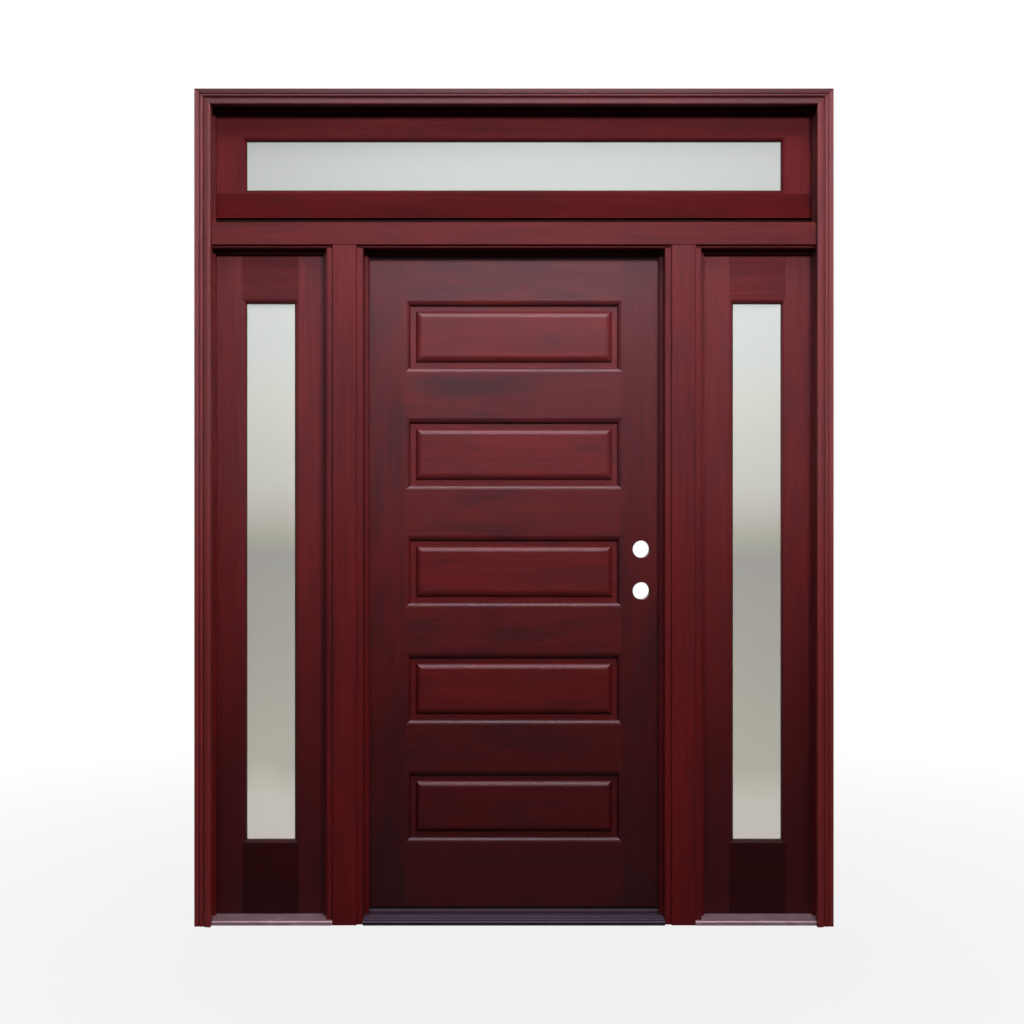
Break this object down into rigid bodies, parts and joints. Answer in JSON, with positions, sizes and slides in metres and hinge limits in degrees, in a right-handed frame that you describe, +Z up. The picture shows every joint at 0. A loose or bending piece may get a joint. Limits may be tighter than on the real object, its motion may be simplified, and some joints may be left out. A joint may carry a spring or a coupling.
{
  "type": "front door with sidelights and transom",
  "caption": "Stained wood entry unit: an inswing raised-panel door between fixed frosted sidelights, under a fixed frosted transom, in one frame with moulded trim and sills.",
  "frame": {"origin": "underside of the threshold, at the middle of the doorway and of the frame's depth", "axes": "+X to the right seen from outside, +Y into the house, +Z up"},
  "size_m": [1.9498, 0.1632, 2.5555],
  "materials": {
    "stained_wood": "satin dark red stain over straight grain",
    "frosted_glass": "frosted pale grey",
    "spacer_metal": "matt mill finish",
    "sill_metal": "satin dark bronze",
    "sill_cap": "matt dark brown",
    "seal_foam": "matt dark brown foam skin",
    "hinge_metal": "brushed dark bronze"
  },
  "bodies": {
    "frame": {"left_jamb": "stained_wood", "right_jamb": "stained_wood", "head_jamb": "stained_wood", "left_mullion": "stained_wood", "right_mullion": "stained_wood", "transom_bar": "stained_wood", "left_brickmould": "stained_wood", "right_brickmould": "stained_wood", "head_brickmould": "stained_wood", "mullion_casings": "stained_wood", "transom_bar_casing": "stained_wood", "sidelight_sills": "sill_metal", "door_threshold": "sill_metal", "threshold_cap": "sill_cap", "frame_seals": "seal_foam", "glazing_spacers": "spacer_metal", "hinge_frame_leaves": "hinge_metal", "hinge_pins": "hinge_metal", "left_sidelight_stiles": "stained_wood", "left_sidelight_rails": "stained_wood", "left_sidelight_glass": "frosted_glass", "left_sidelight_beads": "stained_wood", "left_sidelight_stops": "stained_wood", "right_sidelight_stiles": "stained_wood", "right_sidelight_rails": "stained_wood", "right_sidelight_glass": "frosted_glass", "right_sidelight_beads": "stained_wood", "right_sidelight_stops": "stained_wood", "transom_stiles": "stained_wood", "transom_rails": "stained_wood", "transom_glass": "frosted_glass", "transom_beads": "stained_wood", "transom_stops": "stained_wood"},
    "door": {"hinge_stile": "stained_wood", "lock_stile": "stained_wood", "door_top_rail": "stained_wood", "door_cross_rails": "stained_wood", "door_bottom_rail": "stained_wood", "door_sweep": "seal_foam", "hinge_door_leaves": "hinge_metal", "door_panel_1": "stained_wood", "door_panel_2": "stained_wood", "door_panel_3": "stained_wood", "door_panel_4": "stained_wood", "door_panel_5": "stained_wood"}
  },
  "joints": [
    {"name": "door_swing", "type": "hinge", "parent": "frame", "child": "door", "pos_m": [-0.4597, 0.066, 1.052], "axis": [0, 0, 1], "range_deg": [0, 110]}
  ]
}
